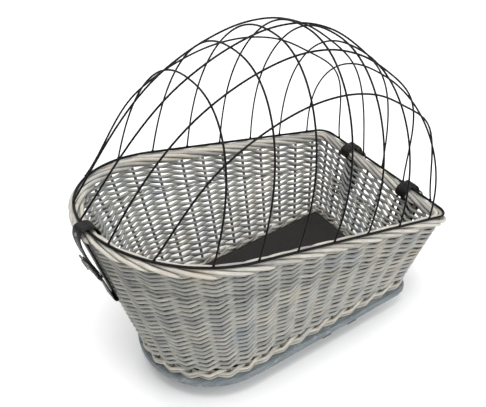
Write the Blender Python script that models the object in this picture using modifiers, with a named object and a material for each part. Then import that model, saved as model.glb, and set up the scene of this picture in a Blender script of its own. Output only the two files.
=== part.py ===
"""Willow pet basket for a bicycle's rear rack, with a hinged wire dome grille.

Metres, +Z up. The origin is the middle of the rack seat, the underside of the under board.
+X points to the straight end, where the grille hinges. The round end, with the closing strap,
is at -X. The rim of the basket slopes down towards the straight end.
"""
import math

import bmesh
import bpy
import numpy as np
from mathutils import Matrix, Vector

GAP = 0.0003                       # clearance between neighbouring pieces

# Base boards: a D outline, with a round end at -X
UNDER_THICK = 0.004
BOARD_THICK = 0.012
BOARD_LENGTH, BOARD_WIDTH = 0.446, 0.264
BOARD_ARC, BOARD_CORNER = 0.130, 0.025
UNDER_INSET = 0.004
UNDER_END_CUT = 0.006              # the under board stops short of the straight end

# Rim: a larger D outline in a plane that slopes down towards +X
RIM_LENGTH, RIM_WIDTH = 0.545, 0.320
RIM_ARC, RIM_CORNER = 0.176, 0.022
RIM_SLOPE = math.radians(15.5)
RIM_AT = Vector((0.0015, 0.0, 0.2426))

# Wicker wall, foot band, top border and mat
WALL_THICK = 0.009
WALL_FOOT_INSET = 0.007            # from the board's edge to the wall's outer face
FOOT_HIGH, FOOT_THICK = 0.013, 0.005
BORDER_OUT, BORDER_IN, BORDER_HIGH, BORDER_ROUND = 0.008, 0.014, 0.014, 0.004
MAT_THICK = 0.014
MAT_GAP = 0.0015

# Wire grille
RIM_WIRE, HOOP_WIRE = 0.0020, 0.0014          # radii
HOOP_FIRST, HOOP_STEP, HOOP_COUNT = -0.1555, 0.0636, 7
HOOP_PEAK, HOOP_PEAK_X, HOOP_FALL = 0.2572, 0.0283, 1.99
HOOP_LEAN, HOOP_LEAN_X = 0.645, 0.0315        # hoops lean towards the middle of the dome
HOOP_SQUARE = 2.33                            # superellipse exponent: above 2, the legs are straighter
HOOP_SWELL = (0.0, 0.012, 0.045, 0.055, 0.055, 0.020, 0.020)
WIRE_SPARE = 0.0003                           # more clearance where a long wire crosses a hoop
# y at the start, the first hoop, the last hoop and the end, then the lean at the start and end
LONG_WIRES = {
    "long_wire_centre": (0.0, 0.0, 0.0, 0.0, 0.60, 0.14),
    "long_wire_left_inner": (0.047, 0.058, 0.065, 0.050, 0.52, 0.30),
    "long_wire_left_outer": (0.111, 0.127, 0.110, 0.120, 0.70, 0.36),
    "long_wire_right_inner": (-0.062, -0.064, -0.067, -0.053, 0.44, 0.20),
    "long_wire_right_outer": (-0.114, -0.121, -0.110, -0.117, 0.65, 0.50),
}

# Leather straps
STRAP_WIDTH, STRAP_THICK = 0.022, 0.0020
STRAP_SPARE = 0.0010               # clearance to the curved border
NOTCH_LONG, NOTCH_SPARE = 0.05, 0.001          # the wall's slot under the border for a strap,
NOTCH_DEEP = 0.0045                # longer than the wall is thick, and wider than the strap
TAIL_THICK = 0.0016
TAIL_RUN = (0.005, 0.050)          # where it starts and ends, down from the buckle's heel bar
BUCKLE_WIRE, PRONG_WIRE = 0.0014, 0.0008
BUCKLE_HIGH, BUCKLE_UP, BUCKLE_CORNER = 0.019, 0.0037, 0.003
KEEPER_DOWN, KEEPER_LONG, KEEPER_THICK = 0.033, 0.007, 0.0012
KEEPER_SPARE = 0.0006              # clearance between the keeper and the two leathers in it

# The outer run of each strap's middle line, in a plane square to the rim: how far out from the
# rim wire, and how far up. It starts on top of the wire and ends at the fold.
CLOSING_RUN = (
    (0.0000, 0.0040), (0.0090, 0.0034), (0.0137, -0.0060), (0.0142, -0.0180),
    (0.0116, -0.0380), (0.0070, -0.0580), (0.0024, -0.0770), (-0.0016, -0.0940),
    (-0.0048, -0.1090), (-0.0076, -0.1240), (-0.0099, -0.1372), (-0.0134, -0.1416))
HINGE_RUN = (
    (0.0000, 0.0040), (0.0078, 0.0030), (0.0130, -0.0050), (0.0152, -0.0200),
    (0.0138, -0.0450), (0.0050, -0.0680), (-0.0075, -0.0880), (-0.0175, -0.1010),
    (-0.0245, -0.1040))
STRAPS = {                         # side of the rim, y, outer run, buckle's place down the strap
    "closing": (-1, -0.0150, CLOSING_RUN, 0.046),       # beside the middle wire's foot
    "left_hinge": (1, 0.0800, HINGE_RUN, 0.012),
    "right_hinge": (1, -0.0680, HINGE_RUN, 0.012),
}

# Rack clamps
BAR_X = (0.047, 0.099)
BAR_LENGTH, BAR_WIDTH, BAR_THICK, BAR_CORNER = 0.256, 0.021, 0.004, 0.003
BOLT_Y = 0.078
BOLT_R, BOLT_DROP = 0.003, 0.030
HEAD_R, HEAD_HIGH = 0.008, 0.0025
NUT_HIGH, NUT_R = 0.007, 0.0055
NUT_TOP = -BAR_THICK - 2 * GAP
WING_THICK = 0.0022
WING_OUTLINE = (                   # out from the bolt's axis, and down from the nut's top
    (0.0042, -0.0010), (0.0085, -0.0030), (0.0135, -0.0055), (0.0150, -0.0095),
    (0.0130, -0.0130), (0.0095, -0.0120), (0.0060, -0.0065), (0.0042, -0.0060))

BOARD_Z = UNDER_THICK + GAP
FLOOR_Z = BOARD_Z + BOARD_THICK
RIM = Matrix.Translation(RIM_AT) @ Matrix.Rotation(RIM_SLOPE, 4, "Y")
BORDER_TOP = -RIM_WIRE - GAP
BORDER_BOTTOM = BORDER_TOP - BORDER_HIGH


# ---------------------------------------------------------------- scene and materials

for old in list(bpy.data.objects):
    bpy.data.objects.remove(old, do_unlink=True)

parts = bpy.data.collections.new("bicycle_pet_basket")
cutters = bpy.data.collections.new("cutters")
cutters.hide_render = True
for collection in (parts, cutters):
    bpy.context.scene.collection.children.link(collection)


def material(name, colour, roughness, metallic=0.0):
    made = bpy.data.materials.new(name)
    made.use_nodes = True
    shader = made.node_tree.nodes["Principled BSDF"]
    shader.inputs["Base Color"].default_value = (*colour, 1.0)
    shader.inputs["Roughness"].default_value = roughness
    shader.inputs["Metallic"].default_value = metallic
    return made


LOOKS = {
    "stained_board": ((0.24, 0.29, 0.32), 0.75, 0.0),
    "grey_willow": ((0.42, 0.40, 0.35), 0.7, 0.0),
    "peeled_willow": ((0.62, 0.56, 0.45), 0.65, 0.0),
    "charcoal_felt": ((0.05, 0.048, 0.048), 0.95, 0.0),
    "black_wire": ((0.012, 0.012, 0.012), 0.4, 0.3),
    "black_leather": ((0.012, 0.011, 0.010), 0.5, 0.0),
    "dark_nickel": ((0.16, 0.155, 0.145), 0.35, 1.0),
    "black_steel": ((0.02, 0.02, 0.02), 0.45, 0.6),
    "zinc_steel": ((0.55, 0.56, 0.58), 0.35, 1.0),
}


def finish(obj, name, look, smooth=True):
    """Names the piece, gives it its own material and puts it in the parts collection."""
    obj.name = obj.data.name = name
    obj.data.materials.clear()
    obj.data.materials.append(material(name, *LOOKS[look]))
    for holder in list(obj.users_collection):
        holder.objects.unlink(obj)
    parts.objects.link(obj)
    if smooth and obj.type == "MESH":
        obj.data.shade_smooth()
        obj.data.set_sharp_from_angle(angle=math.radians(35))
    return obj


def mesh_object(name, bm):
    bmesh.ops.recalc_face_normals(bm, faces=bm.faces)
    data = bpy.data.meshes.new(name)
    bm.to_mesh(data)
    bm.free()
    obj = bpy.data.objects.new(name, data)
    parts.objects.link(obj)
    return obj


def as_mesh(curve_obj):
    """The curve object as a mesh object with welded caps."""
    graph = bpy.context.evaluated_depsgraph_get()
    data = bpy.data.meshes.new_from_object(curve_obj.evaluated_get(graph))
    bm = bmesh.new()
    bm.from_mesh(data)
    bmesh.ops.remove_doubles(bm, verts=bm.verts, dist=1e-6)
    bmesh.ops.dissolve_limit(bm, angle_limit=1e-4, verts=bm.verts, edges=bm.edges)
    bmesh.ops.recalc_face_normals(bm, faces=bm.faces)
    bm.to_mesh(data)
    bm.free()
    name, place = curve_obj.name, curve_obj.matrix_world.copy()
    bpy.data.objects.remove(curve_obj, do_unlink=True)
    obj = bpy.data.objects.new(name, data)
    obj.matrix_world = place
    parts.objects.link(obj)
    return obj


def boolean(target, other, operation):
    """Cuts, or joins with, another object, which goes to the cutters collection.

    The manifold solver keeps the flat plates closed, where the exact one left open edges.
    """
    for holder in list(other.users_collection):
        holder.objects.unlink(other)
    cutters.objects.link(other)
    other.hide_render = True
    other.display_type = "WIRE"
    step = target.modifiers.new(other.name, "BOOLEAN")
    step.operation, step.solver, step.object = operation, "MANIFOLD", other


def box(name, size, centre, rotation=None):
    bm = bmesh.new()
    bmesh.ops.create_cube(bm, size=1.0, matrix=Matrix.Diagonal((*size, 1.0)))
    obj = mesh_object(name, bm)
    turn = rotation.to_4x4() if rotation else Matrix.Identity(4)
    obj.matrix_world = Matrix.Translation(centre) @ turn
    return obj


def cylinder(name, radius, low, high, x, y, sides=16):
    bm = bmesh.new()
    bmesh.ops.create_cone(bm, cap_ends=True, segments=sides, radius1=radius, radius2=radius,
                          depth=high - low)
    obj = mesh_object(name, bm)
    obj.location = (x, y, (low + high) / 2)
    return obj


# ---------------------------------------------------------------- outlines and lofts

def d_outline(length, width, arc, corner, offset=0.0, arc_steps=13):
    """Points round a D outline, moved outwards by offset: straight end at +X, round end at -X.

    The round end is a half ellipse of depth arc. Every outline has the same number of points,
    so that two of them can be lofted.
    """
    half = width / 2
    line = [((length / 2, half * s), (1.0, 0.0)) for s in (0.0, 0.45)]
    for step in range(5):
        a = math.radians(90 * step / 4)
        line.append(((length / 2 - corner + corner * math.cos(a),
                      half - corner + corner * math.sin(a)), (math.cos(a), math.sin(a))))
    side = (length / 2 - corner, -length / 2 + arc)
    line += [((side[0] + (side[1] - side[0]) * s, half), (0.0, 1.0)) for s in (0.25, 0.5, 0.75)]
    for step in range(arc_steps):
        a = math.radians(90 + 90 * step / (arc_steps - 1))
        normal = Vector((math.cos(a) / arc, math.sin(a) / half)).normalized()
        line.append(((-length / 2 + arc + arc * math.cos(a), half * math.sin(a)), tuple(normal)))
    points = [(x + offset * nx, y + offset * ny) for (x, y), (nx, ny) in line]
    return points + [(x, -y) for x, y in points[-2:0:-1]]


def board_outline(offset=0.0):
    return d_outline(BOARD_LENGTH, BOARD_WIDTH, BOARD_ARC, BOARD_CORNER, offset)


def rim_outline(offset=0.0):
    return d_outline(RIM_LENGTH, RIM_WIDTH, RIM_ARC, RIM_CORNER, offset)


def loft(name, rings):
    """A closed solid ring through four or more outlines, the last joined to the first."""
    bm = bmesh.new()
    loops = [[bm.verts.new(p) for p in ring] for ring in rings]
    count = len(loops[0])
    for low, high in zip(loops, loops[1:] + loops[:1]):
        for i in range(count):
            j = (i + 1) % count
            bm.faces.new((low[i], low[j], high[j], high[i]))
    return mesh_object(name, bm)


def plate(name, loops, thick, place, rounding=0.0, segments=1):
    """A flat plate with one outer loop and any holes: a filled and extruded 2D curve, whose
    long edges are then rounded. place is its matrix; the plate's mid plane is its XY plane."""
    data = bpy.data.curves.new(name, "CURVE")
    data.dimensions, data.fill_mode = "2D", "BOTH"
    for loop in loops:
        spline = data.splines.new("POLY")
        spline.points.add(len(loop) - 1)
        for point, (x, y) in zip(spline.points, loop):
            point.co = (x, y, 0.0, 1.0)
        spline.use_cyclic_u = True
    data.extrude = thick / 2
    obj = bpy.data.objects.new(name, data)
    parts.objects.link(obj)
    obj.matrix_world = place
    bpy.context.view_layer.update()
    obj = as_mesh(obj)
    if rounding:
        edge = obj.modifiers.new("rounded_edges", "BEVEL")
        edge.width, edge.segments, edge.use_clamp_overlap = rounding, segments, False
        edge.limit_method, edge.angle_limit = "ANGLE", math.radians(60)
    return obj


def wire(name, points, radius, cyclic=False, roundness=2):
    data = bpy.data.curves.new(name, "CURVE")
    data.dimensions = "3D"
    spline = data.splines.new("POLY")
    spline.points.add(len(points) - 1)
    for point, co in zip(spline.points, points):
        point.co = (*co, 1.0)
    spline.use_cyclic_u = cyclic
    spline.use_smooth = True
    data.bevel_depth, data.bevel_resolution = radius, roundness
    data.use_fill_caps = not cyclic
    obj = bpy.data.objects.new(name, data)
    parts.objects.link(obj)
    return obj


def smooth_path(points, steps, closed):
    """Catmull-Rom points through the given points."""
    knots = [np.array(p, float) for p in points]
    if closed:
        knots = [knots[-1]] + knots + knots[:2]
    else:
        knots = [2 * knots[0] - knots[1]] + knots + [2 * knots[-1] - knots[-2]]
    path = []
    for a, b, c, d in zip(knots, knots[1:], knots[2:], knots[3:]):
        for t in np.linspace(0.0, 1.0, steps, endpoint=False):
            path.append(0.5 * (2 * b + (c - a) * t + (2 * a - 5 * b + 4 * c - d) * t ** 2
                               + (3 * b - a - 3 * c + d) * t ** 3))
    if not closed:
        path.append(knots[-2])
    return np.array(path)


# ---------------------------------------------------------------- boards and mat

def base_boards():
    under = board_outline(-UNDER_INSET)
    stop = BOARD_LENGTH / 2 - UNDER_INSET - UNDER_END_CUT
    under = [(min(x, stop), y) for x, y in under]
    for name, outline, low, thick, rounding in (
        ("under_board", under, 0.0, UNDER_THICK, 0.0),
        ("base_board", board_outline(), BOARD_Z, BOARD_THICK, 0.0015),
    ):
        board = plate(name, [outline], thick, Matrix.Translation((0, 0, low + thick / 2)),
                      rounding)
        for bar_x in BAR_X:
            for side in (-1, 1):
                hole = cylinder("bolt_hole", BOLT_R + GAP, -0.05, 0.05, bar_x, side * BOLT_Y)
                boolean(board, hole, "DIFFERENCE")
                if name == "base_board":
                    seat = cylinder("head_seat", HEAD_R + GAP, FLOOR_Z - HEAD_HIGH - GAP,
                                    FLOOR_Z + 0.01, bar_x, side * BOLT_Y)
                    boolean(board, seat, "DIFFERENCE")
        finish(board, name, "stained_board")


def floor_mat():
    inset = WALL_FOOT_INSET + WALL_THICK + MAT_GAP
    mat = plate("floor_mat", [board_outline(-inset)], MAT_THICK,
                Matrix.Translation((0, 0, FLOOR_Z + GAP + MAT_THICK / 2)), 0.001)
    finish(mat, "floor_mat", "charcoal_felt")


def strap_place(side, y):
    """A matrix on the rim wire at y: X square to the rim, outwards at the side 1, and Z up.

    It is turned about the rim plane's normal, so that the strap lies flat on the border.
    """
    x, turn = RIM_LENGTH / 2, 0.0
    if side < 0:
        angle = math.asin(2 * y / RIM_WIDTH)
        x = RIM_LENGTH / 2 - RIM_ARC * (1 - math.cos(angle))
        turn = -math.atan2(math.sin(angle) / (RIM_WIDTH / 2), math.cos(angle) / RIM_ARC)
    slope = Matrix.Rotation(RIM_SLOPE, 4, "Y")
    turned_round = slope @ Matrix.Rotation(turn, 4, "Z") @ slope.inverted()
    return Matrix.Translation(RIM @ Vector((side * x, y, 0))) @ turned_round


# ---------------------------------------------------------------- wicker

def wall_ring(height, out):
    """The wall's outline at a height from 0, the board, to 1, under the border."""
    foot = [Vector((x, y, FLOOR_Z + GAP)) for x, y in board_outline(-WALL_FOOT_INSET + out)]
    top = [RIM @ Vector((x, y, BORDER_BOTTOM - GAP)) for x, y in rim_outline(out)]
    return [a.lerp(b, height) for a, b in zip(foot, top)]


def wicker():
    wall = loft("wicker_wall", [wall_ring(0, 0), wall_ring(1, 0),
                                wall_ring(1, -WALL_THICK), wall_ring(0, -WALL_THICK)])
    notch = (NOTCH_LONG, STRAP_WIDTH + 2 * NOTCH_SPARE, 2 * NOTCH_DEEP)
    for side, y, _, _ in STRAPS.values():
        turn = strap_place(side, y) @ RIM.to_3x3().to_4x4()
        at = turn @ Vector((0, 0, BORDER_BOTTOM))
        boolean(wall, box("strap_notch", notch, at, turn.to_3x3()), "DIFFERENCE")
    finish(wall, "wicker_wall", "grey_willow")

    share = FOOT_HIGH / (RIM_AT.z - FLOOR_Z)
    rings = [wall_ring(h, out) for h, out in (
        (0, GAP), (0, FOOT_THICK), (share, FOOT_THICK * 0.8), (share, GAP))]
    finish(loft("foot_band", rings), "foot_band", "peeled_willow")

    middle = Matrix.Translation((0, 0, (BORDER_TOP + BORDER_BOTTOM) / 2))
    border = plate("top_border", [rim_outline(BORDER_OUT), rim_outline(-BORDER_IN)],
                   BORDER_HIGH, RIM @ middle, BORDER_ROUND, 2)
    finish(border, "top_border", "peeled_willow")


# ---------------------------------------------------------------- grille

def rim_half_width(x):
    """Half the rim's width at x along it, ahead of the corners."""
    start = -RIM_LENGTH / 2 + RIM_ARC
    if x >= start:
        return RIM_WIDTH / 2
    return RIM_WIDTH / 2 * math.sqrt(1 - ((start - x) / RIM_ARC) ** 2)


class Hoop:
    """An arch across the rim, a superellipse that swells between its feet and its top.

    Its feet stand on the rim wire, and it leans along X.
    """

    def __init__(self, number):
        self.x = HOOP_FIRST + HOOP_STEP * number
        self.peak = HOOP_PEAK - HOOP_FALL * (self.x - HOOP_PEAK_X) ** 2
        self.lean = -HOOP_LEAN * (self.x - HOOP_LEAN_X)
        self.half, self.swell = rim_half_width(self.x), HOOP_SWELL[number]

    def point(self, angle):
        """A point on the arch. Angle 0 is on the rim's left side, 90 the top."""
        c, s = math.cos(math.radians(angle)), math.sin(math.radians(angle))
        z = self.peak * s ** (2 / HOOP_SQUARE)
        y = math.copysign(abs(c) ** (2 / HOOP_SQUARE), c) * self.half
        y *= 1 + self.swell * math.sin(math.pi * z / self.peak)
        return Vector((self.x + self.lean * z, y, z))

    def path(self, steps=24):
        low = math.degrees(math.asin(((RIM_WIRE + GAP) / self.peak) ** (HOOP_SQUARE / 2)))
        return [self.point(low + (180 - 2 * low) * i / steps) for i in range(steps + 1)]

    def angle_at(self, y):
        """The angle of the arch's point at y, found by halving."""
        low, high = 0.0, 180.0
        for _ in range(40):
            middle = (low + high) / 2
            low, high = (middle, high) if self.point(middle).y > y else (low, middle)
        return middle


def hermite(a, b, slope_a, slope_b, steps):
    for t in np.linspace(0.0, 1.0, steps, endpoint=False):
        yield (a * (2 * t ** 3 - 3 * t ** 2 + 1) + slope_a * (t ** 3 - 2 * t ** 2 + t)
               + b * (3 * t ** 2 - 2 * t ** 3) + slope_b * (t ** 3 - t ** 2))


def long_wire_path(hoops, start_y, first_y, last_y, end_y, start_lean, end_lean):
    """From the round end of the rim, over every hoop, down to the straight end."""
    foot = RIM_WIRE + GAP + HOOP_WIRE / 2
    start_x = -RIM_LENGTH / 2 + RIM_ARC * (1 - math.sqrt(1 - (2 * start_y / RIM_WIDTH) ** 2))
    ys = np.linspace(first_y, last_y, len(hoops))
    angles = [hoop.angle_at(y) for hoop, y in zip(hoops, ys)]
    knots = [Vector((start_x, start_y, foot))]
    knots += [hoop.point(angle) for hoop, angle in zip(hoops, angles)]
    knots.append(Vector((RIM_LENGTH / 2, end_y, foot)))
    lifts = []
    for i, (hoop, angle) in enumerate(zip(hoops, angles), 1):
        along_hoop = hoop.point(angle - 1) - hoop.point(angle + 1)
        outwards = (knots[i + 1] - knots[i - 1]).cross(along_hoop).normalized()
        lifts.append(outwards * (2 * HOOP_WIRE + GAP + WIRE_SPARE))
    for i, lift in enumerate(lifts, 1):
        knots[i] += lift * (1 if lift.z > 0 else -1)
    lengths = [(b - a).length for a, b in zip(knots, knots[1:])]
    ways = [(b - a).normalized() for a, b in zip(knots, knots[1:])]
    slopes = [Vector((start_lean, 0.0, 1.0)).normalized()]
    for i in range(1, len(ways)):
        before, after = lengths[i - 1], lengths[i]
        slopes.append((ways[i - 1] * after + ways[i] * before) / (before + after))
    slopes.append(Vector((end_lean, 0.0, -1.0)).normalized())
    path = []
    for i, length in enumerate(lengths):
        path += hermite(knots[i], knots[i + 1], slopes[i] * length, slopes[i + 1] * length,
                        8 if length > 0.09 else 4)
    return path + [knots[-1]]


def grille():
    hinge = bpy.data.objects.new("grille_hinge", None)
    parts.objects.link(hinge)
    hinge.matrix_world = RIM @ Matrix.Translation((RIM_LENGTH / 2, 0, 0))
    from_hinge = Vector((RIM_LENGTH / 2, 0, 0))
    hoops = [Hoop(number) for number in range(HOOP_COUNT)]
    pieces = [("rim_wire", [Vector((x, y, 0)) for x, y in rim_outline()], RIM_WIRE, True)]
    for number, hoop in enumerate(hoops, 1):
        pieces.append((f"hoop_{number}", hoop.path(), HOOP_WIRE, False))
    for name, course in LONG_WIRES.items():
        pieces.append((name, long_wire_path(hoops, *course), HOOP_WIRE, False))
    for name, points, radius, cyclic in pieces:
        piece = wire(name, [p - from_hinge for p in points], radius, cyclic, 2 if cyclic else 1)
        finish(piece, name, "black_wire")
        piece.parent = hinge


# ---------------------------------------------------------------- straps and buckles

class Strap:
    """A leather loop across the rim, at the round end (side -1) or the straight end (side 1).

    The loop lies in a plane through the rim wire's point at y, square to the rim there. From
    the fold it runs up beside the wall, in through the notch under the border, and up inside it.
    """

    def __init__(self, name, side, y, outer_run, buckle_down):
        self.name, self.side, self.buckle_down = name, side, buckle_down
        self.place = strap_place(side, y)
        self.loop = smooth_path(self.knots(outer_run), 4, closed=True)
        ahead, behind = np.roll(self.loop, -1, axis=0), np.roll(self.loop, 1, axis=0)
        self.along = (ahead - behind) / np.linalg.norm(ahead - behind, axis=1)[:, None]
        turning = np.sum(behind[:, 0] * self.loop[:, 1] - behind[:, 1] * self.loop[:, 0])
        self.outwards = np.stack([self.along[:, 1], -self.along[:, 0]], axis=1)
        self.outwards *= 1.0 if turning > 0 else -1.0

    def wall_face(self, height):
        """The wall's outermost point within the strap's width: how far out, and how far up."""
        ring = [self.place.inverted() @ p for p in wall_ring(height, 0)]
        spots = [a.lerp(b, t) for a, b in zip(ring, ring[1:] + ring[:1])
                 for t in np.linspace(0.0, 1.0, 12)]
        spots = [(self.side * p.x, p.z) for p in spots if abs(p.y) < STRAP_WIDTH / 2]
        return max(spots)

    def knots(self, outer_run):
        fold_up, (low, high) = outer_run[-1][1], (self.wall_face(h) for h in (0.2, 1.0))
        clear = STRAP_THICK / 2 + STRAP_SPARE
        points = [Vector((self.side * out, 0, up)) for out, up in outer_run]
        for share in (0.03, 0.25, 0.5, 0.75, 1.0):
            up = fold_up + (high[1] - 0.006 - fold_up) * share
            out = low[0] + (high[0] - low[0]) * (up - low[1]) / (high[1] - low[1])
            points.append(Vector((self.side * (out + clear), 0, up)))
        under = BORDER_BOTTOM - GAP - STRAP_THICK / 2 - GAP / 2
        inside = -BORDER_IN - clear
        for out, up in ((-0.003, under), (-0.011, under), (inside - 0.0002, -0.0140),
                        (inside - 0.0004, -0.0050), (-0.0085, 0.0030)):
            points.append(RIM.to_3x3() @ Vector((self.side * out, 0, up)))
        return [(p.x, p.z) for p in points]

    def edge(self, out):
        return self.loop + self.outwards * out

    def in_plane(self):
        return self.place @ Matrix.Rotation(math.radians(90), 4, "X")

    def index_at(self, down):
        """The first point of the loop's outer run that is this far below the rim wire."""
        return int(np.argmax(self.loop[:, 1] <= -down))

    def frame_at(self, down):
        """A matrix on the strap's outer face: X runs down the strap, Z points away from it."""
        i = self.index_at(down)
        point = self.edge(STRAP_THICK / 2)[i]
        x_axis = Vector((self.along[i][0], 0, self.along[i][1]))
        z_axis = Vector((self.outwards[i][0], 0, self.outwards[i][1]))
        turn = Matrix((x_axis, z_axis.cross(x_axis), z_axis)).transposed().to_4x4()
        return self.place @ Matrix.Translation((point[0], 0, point[1])) @ turn

    def band(self):
        loops = [self.edge(STRAP_THICK / 2), self.edge(-STRAP_THICK / 2)]
        band = plate(f"{self.name}_strap", loops, STRAP_WIDTH, self.in_plane())
        finish(band, band.name, "black_leather")

    def tail(self):
        """The strap's free end, which lies on the loop from the buckle through the keeper."""
        start, end = (self.index_at(self.buckle_down + down) for down in TAIL_RUN)
        low, high = STRAP_THICK / 2 + GAP, STRAP_THICK / 2 + GAP + TAIL_THICK
        outline = list(self.edge(low)[start:end + 1]) + list(self.edge(high)[start:end + 1])[::-1]
        tail = plate(f"{self.name}_strap_end", [outline], STRAP_WIDTH, self.in_plane())
        finish(tail, tail.name, "black_leather")

    def buckle(self):
        place = self.frame_at(self.buckle_down)
        half = STRAP_WIDTH / 2 + 2 * GAP + BUCKLE_WIRE
        ring = rounded_rectangle((0, BUCKLE_HIGH), (-half, half), BUCKLE_CORNER)
        buckle = wire(f"{self.name}_buckle", [Vector((x, y, BUCKLE_UP)) for x, y in ring],
                      BUCKLE_WIRE, cyclic=True)
        buckle.matrix_world = place
        finish(buckle, buckle.name, "dark_nickel")

        eye = BUCKLE_WIRE + GAP + PRONG_WIRE
        turns = [math.radians(a) for a in range(360, 89, -30)]
        path = [Vector((eye * math.cos(a), 0, eye * math.sin(a))) for a in turns]
        path += [Vector((x, 0, eye)) for x in (BUCKLE_HIGH / 2, BUCKLE_HIGH + BUCKLE_WIRE)]
        prong = wire(f"{self.name}_prong", path, PRONG_WIRE)
        prong.matrix_world = place @ Matrix.Translation((0, 0, BUCKLE_UP))
        finish(prong, prong.name, "dark_nickel")

    def keeper(self):
        place = self.frame_at(self.buckle_down + KEEPER_DOWN)
        low, high = -STRAP_THICK - KEEPER_SPARE, GAP + TAIL_THICK + KEEPER_SPARE
        half = STRAP_WIDTH / 2 + KEEPER_SPARE
        loops = [rounded_rectangle((low - out, high + out), (-half - out, half + out), r)
                 for out, r in ((KEEPER_THICK, 0.0012), (0.0, 0.0003))]
        upright = Matrix.Rotation(math.radians(-90), 4, "Y")
        keeper = plate(f"{self.name}_keeper", loops, KEEPER_LONG, place @ upright)
        finish(keeper, keeper.name, "black_leather")

    def build(self):
        self.band()
        self.tail()
        self.buckle()
        self.keeper()


def rounded_rectangle(xs, ys, radius, steps=3):
    """Points round a rectangle with rounded corners."""
    points = []
    for corner, (x, y) in enumerate(((xs[1], ys[1]), (xs[0], ys[1]), (xs[0], ys[0]),
                                     (xs[1], ys[0]))):
        x_in = x - math.copysign(radius, x - sum(xs) / 2)
        y_in = y - math.copysign(radius, y - sum(ys) / 2)
        for step in range(steps):
            a = math.radians(90 * corner + 90 * step / (steps - 1))
            points.append((x_in + radius * math.cos(a), y_in + radius * math.sin(a)))
    return points


# ---------------------------------------------------------------- rack clamps

def turned(name, profile, sides=16, bored=False):
    """A turned solid about Z, from its profile down the outer side. Bored: a closed profile."""
    bm = bmesh.new()
    points = [bm.verts.new((r, 0, z)) for r, z in profile]
    for a, b in zip(points, points[1:] + points[:1] if bored else points[1:]):
        bm.edges.new((a, b))
    data = bpy.data.meshes.new(name)
    bm.to_mesh(data)
    bm.free()
    obj = bpy.data.objects.new(name, data)
    parts.objects.link(obj)
    screw = obj.modifiers.new("turn", "SCREW")
    screw.steps = screw.render_steps = sides
    screw.use_merge_vertices, screw.merge_threshold = True, 0.00002
    screw.use_smooth_shade = True
    return obj


def wing_nut(name, x, y):
    """A hub on the bolt's thread, with two flared wings. Its origin is on the bolt's axis."""
    inner = BOLT_R + GAP
    hub = turned(name, [(inner, 0), (NUT_R, 0), (NUT_R * 0.8, -NUT_HIGH), (inner, -NUT_HIGH)],
                 bored=True)
    for side in (-1, 1):
        outline = [(side * out, up) for out, up in WING_OUTLINE]
        wing = plate("wing", [outline], WING_THICK,
                     Matrix.Translation((x, y, NUT_TOP)) @ Matrix.Rotation(math.pi / 2, 4, "X"))
        boolean(hub, wing, "UNION")
    hub.location = (x, y, NUT_TOP)
    finish(hub, name, "zinc_steel")


def clamps():
    for number, x in enumerate(BAR_X, 1):
        outline = rounded_rectangle((-BAR_WIDTH / 2, BAR_WIDTH / 2),
                                    (-BAR_LENGTH / 2, BAR_LENGTH / 2), BAR_CORNER)
        place = Matrix.Translation((x, 0, -GAP - BAR_THICK / 2))
        bar = plate(f"clamp_bar_{number}", [outline], BAR_THICK, place)
        for side, y in (("right", -BOLT_Y), ("left", BOLT_Y)):
            hole = cylinder("bar_hole", BOLT_R + GAP, -0.02, 0.02, x, y)
            boolean(bar, hole, "DIFFERENCE")
            head = [(0, FLOOR_Z - 0.0001), (HEAD_R * 0.6, FLOOR_Z - 0.0001),
                    (HEAD_R, FLOOR_Z - 0.001), (HEAD_R, FLOOR_Z - HEAD_HIGH),
                    (BOLT_R, FLOOR_Z - HEAD_HIGH), (BOLT_R, 0.0005 - BOLT_DROP),
                    (BOLT_R - 0.0005, -BOLT_DROP), (0, -BOLT_DROP)]
            bolt = turned(f"carriage_bolt_{number}_{side}", head)
            bolt.location = (x, y, 0)
            finish(bolt, bolt.name, "zinc_steel")
            wing_nut(f"wing_nut_{number}_{side}", x, y)
        finish(bar, bar.name, "black_steel")


def build():
    base_boards()
    floor_mat()
    wicker()
    grille()
    for name, course in STRAPS.items():
        Strap(name, *course).build()
    clamps()


build()
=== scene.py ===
"""Looks of the bicycle pet basket: woven willow, plaited border, leather straps, wires and clamps.

Every length is in metres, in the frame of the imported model. u runs along the rim from the middle
of the round end (-X), round the right side (-Y), the straight end and the left side.
"""
import math
import random

import bmesh
import bpy
import numpy as np
from mathutils import Matrix, Vector, noise


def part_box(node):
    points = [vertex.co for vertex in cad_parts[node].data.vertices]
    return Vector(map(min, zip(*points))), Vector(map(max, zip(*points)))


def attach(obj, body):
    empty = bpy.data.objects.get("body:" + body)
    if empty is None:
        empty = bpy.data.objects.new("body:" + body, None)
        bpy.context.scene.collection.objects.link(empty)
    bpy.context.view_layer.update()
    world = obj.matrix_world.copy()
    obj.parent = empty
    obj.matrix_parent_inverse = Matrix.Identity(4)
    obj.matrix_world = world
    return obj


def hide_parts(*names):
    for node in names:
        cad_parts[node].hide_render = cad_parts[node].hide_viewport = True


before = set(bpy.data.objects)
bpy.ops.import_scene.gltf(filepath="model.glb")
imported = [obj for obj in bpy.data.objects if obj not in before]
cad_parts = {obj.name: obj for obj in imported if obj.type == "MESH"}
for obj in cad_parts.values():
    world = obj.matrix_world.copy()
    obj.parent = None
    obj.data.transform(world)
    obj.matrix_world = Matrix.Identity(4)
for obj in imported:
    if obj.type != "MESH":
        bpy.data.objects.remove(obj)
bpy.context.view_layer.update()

# ---------------- shape rules, as in the CAD

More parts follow.
